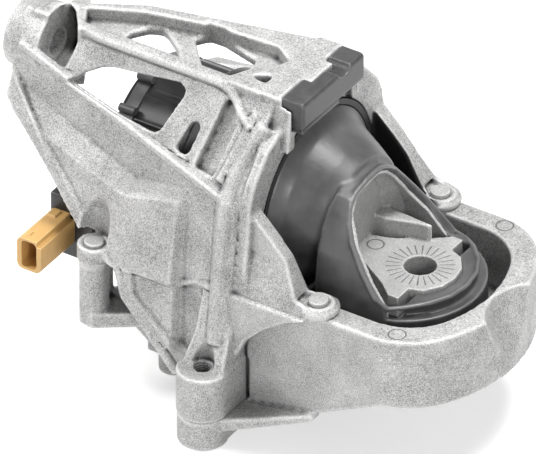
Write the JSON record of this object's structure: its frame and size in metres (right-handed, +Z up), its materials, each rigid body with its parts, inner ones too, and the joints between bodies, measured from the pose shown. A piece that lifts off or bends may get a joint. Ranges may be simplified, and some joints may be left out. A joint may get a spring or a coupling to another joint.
{
  "type": "engine mount",
  "caption": "Hydraulic engine mount: two-piece cast bracket with an eyed arm and bolting feet round a rubber spring, bolting tongue, stop buffer and electric valve cap.",
  "frame": {"origin": "centre of the core's bolt hole, on its clamping face", "axes": "+Z up along the bolt hole, +X out of the hood towards the closed end of the cradle, -Y towards the side with the connector"},
  "size_m": [0.278, 0.187, 0.18],
  "materials": {
    "cast_aluminium": "as-cast, fine-grained",
    "core_aluminium": "as-cast with a machined face",
    "plate_aluminium": "machined",
    "steel": "plain",
    "sleeve_brass": "drawn",
    "copper_winding": "enamelled wire",
    "spring_rubber": "satin moulded",
    "buffer_rubber": "satin moulded",
    "seal_rubber": "smooth moulded",
    "black_plastic": "moulded",
    "grey_band": "moulded",
    "tan_plastic": "moulded"
  },
  "bodies": {
    "root": {"upper_bracket": "cast_aluminium", "lower_bracket": "cast_aluminium", "clinch_rivets": "steel", "core": "core_aluminium", "rubber_spring": "spring_rubber", "outer_ring": "steel", "cartridge_can": "steel", "nozzle_plate": "plate_aluminium", "track_plate": "plate_aluminium", "membrane": "seal_rubber", "diaphragm": "seal_rubber", "air_bowl": "black_plastic", "solenoid_cap": "black_plastic", "cap_seal": "seal_rubber", "clamp_ring": "grey_band", "flux_plate": "steel", "yoke": "steel", "guide_sleeve": "sleeve_brass", "coil_bobbin": "black_plastic", "coil": "copper_winding", "pole_core": "steel", "return_spring": "steel", "connector_shroud": "tan_plastic", "terminal_pins": "steel", "stop_buffer": "buffer_rubber"},
    "valve": {"plunger": "steel"}
  },
  "joints": [
    {"name": "valve_slide", "type": "slide", "parent": "root", "child": "valve", "axis": [-1, 0, 0], "range_m": [0, 0.0012], "stiffness_N_per_m": 600, "springref_m": -0.001, "deforming": ["return_spring"]}
  ]
}
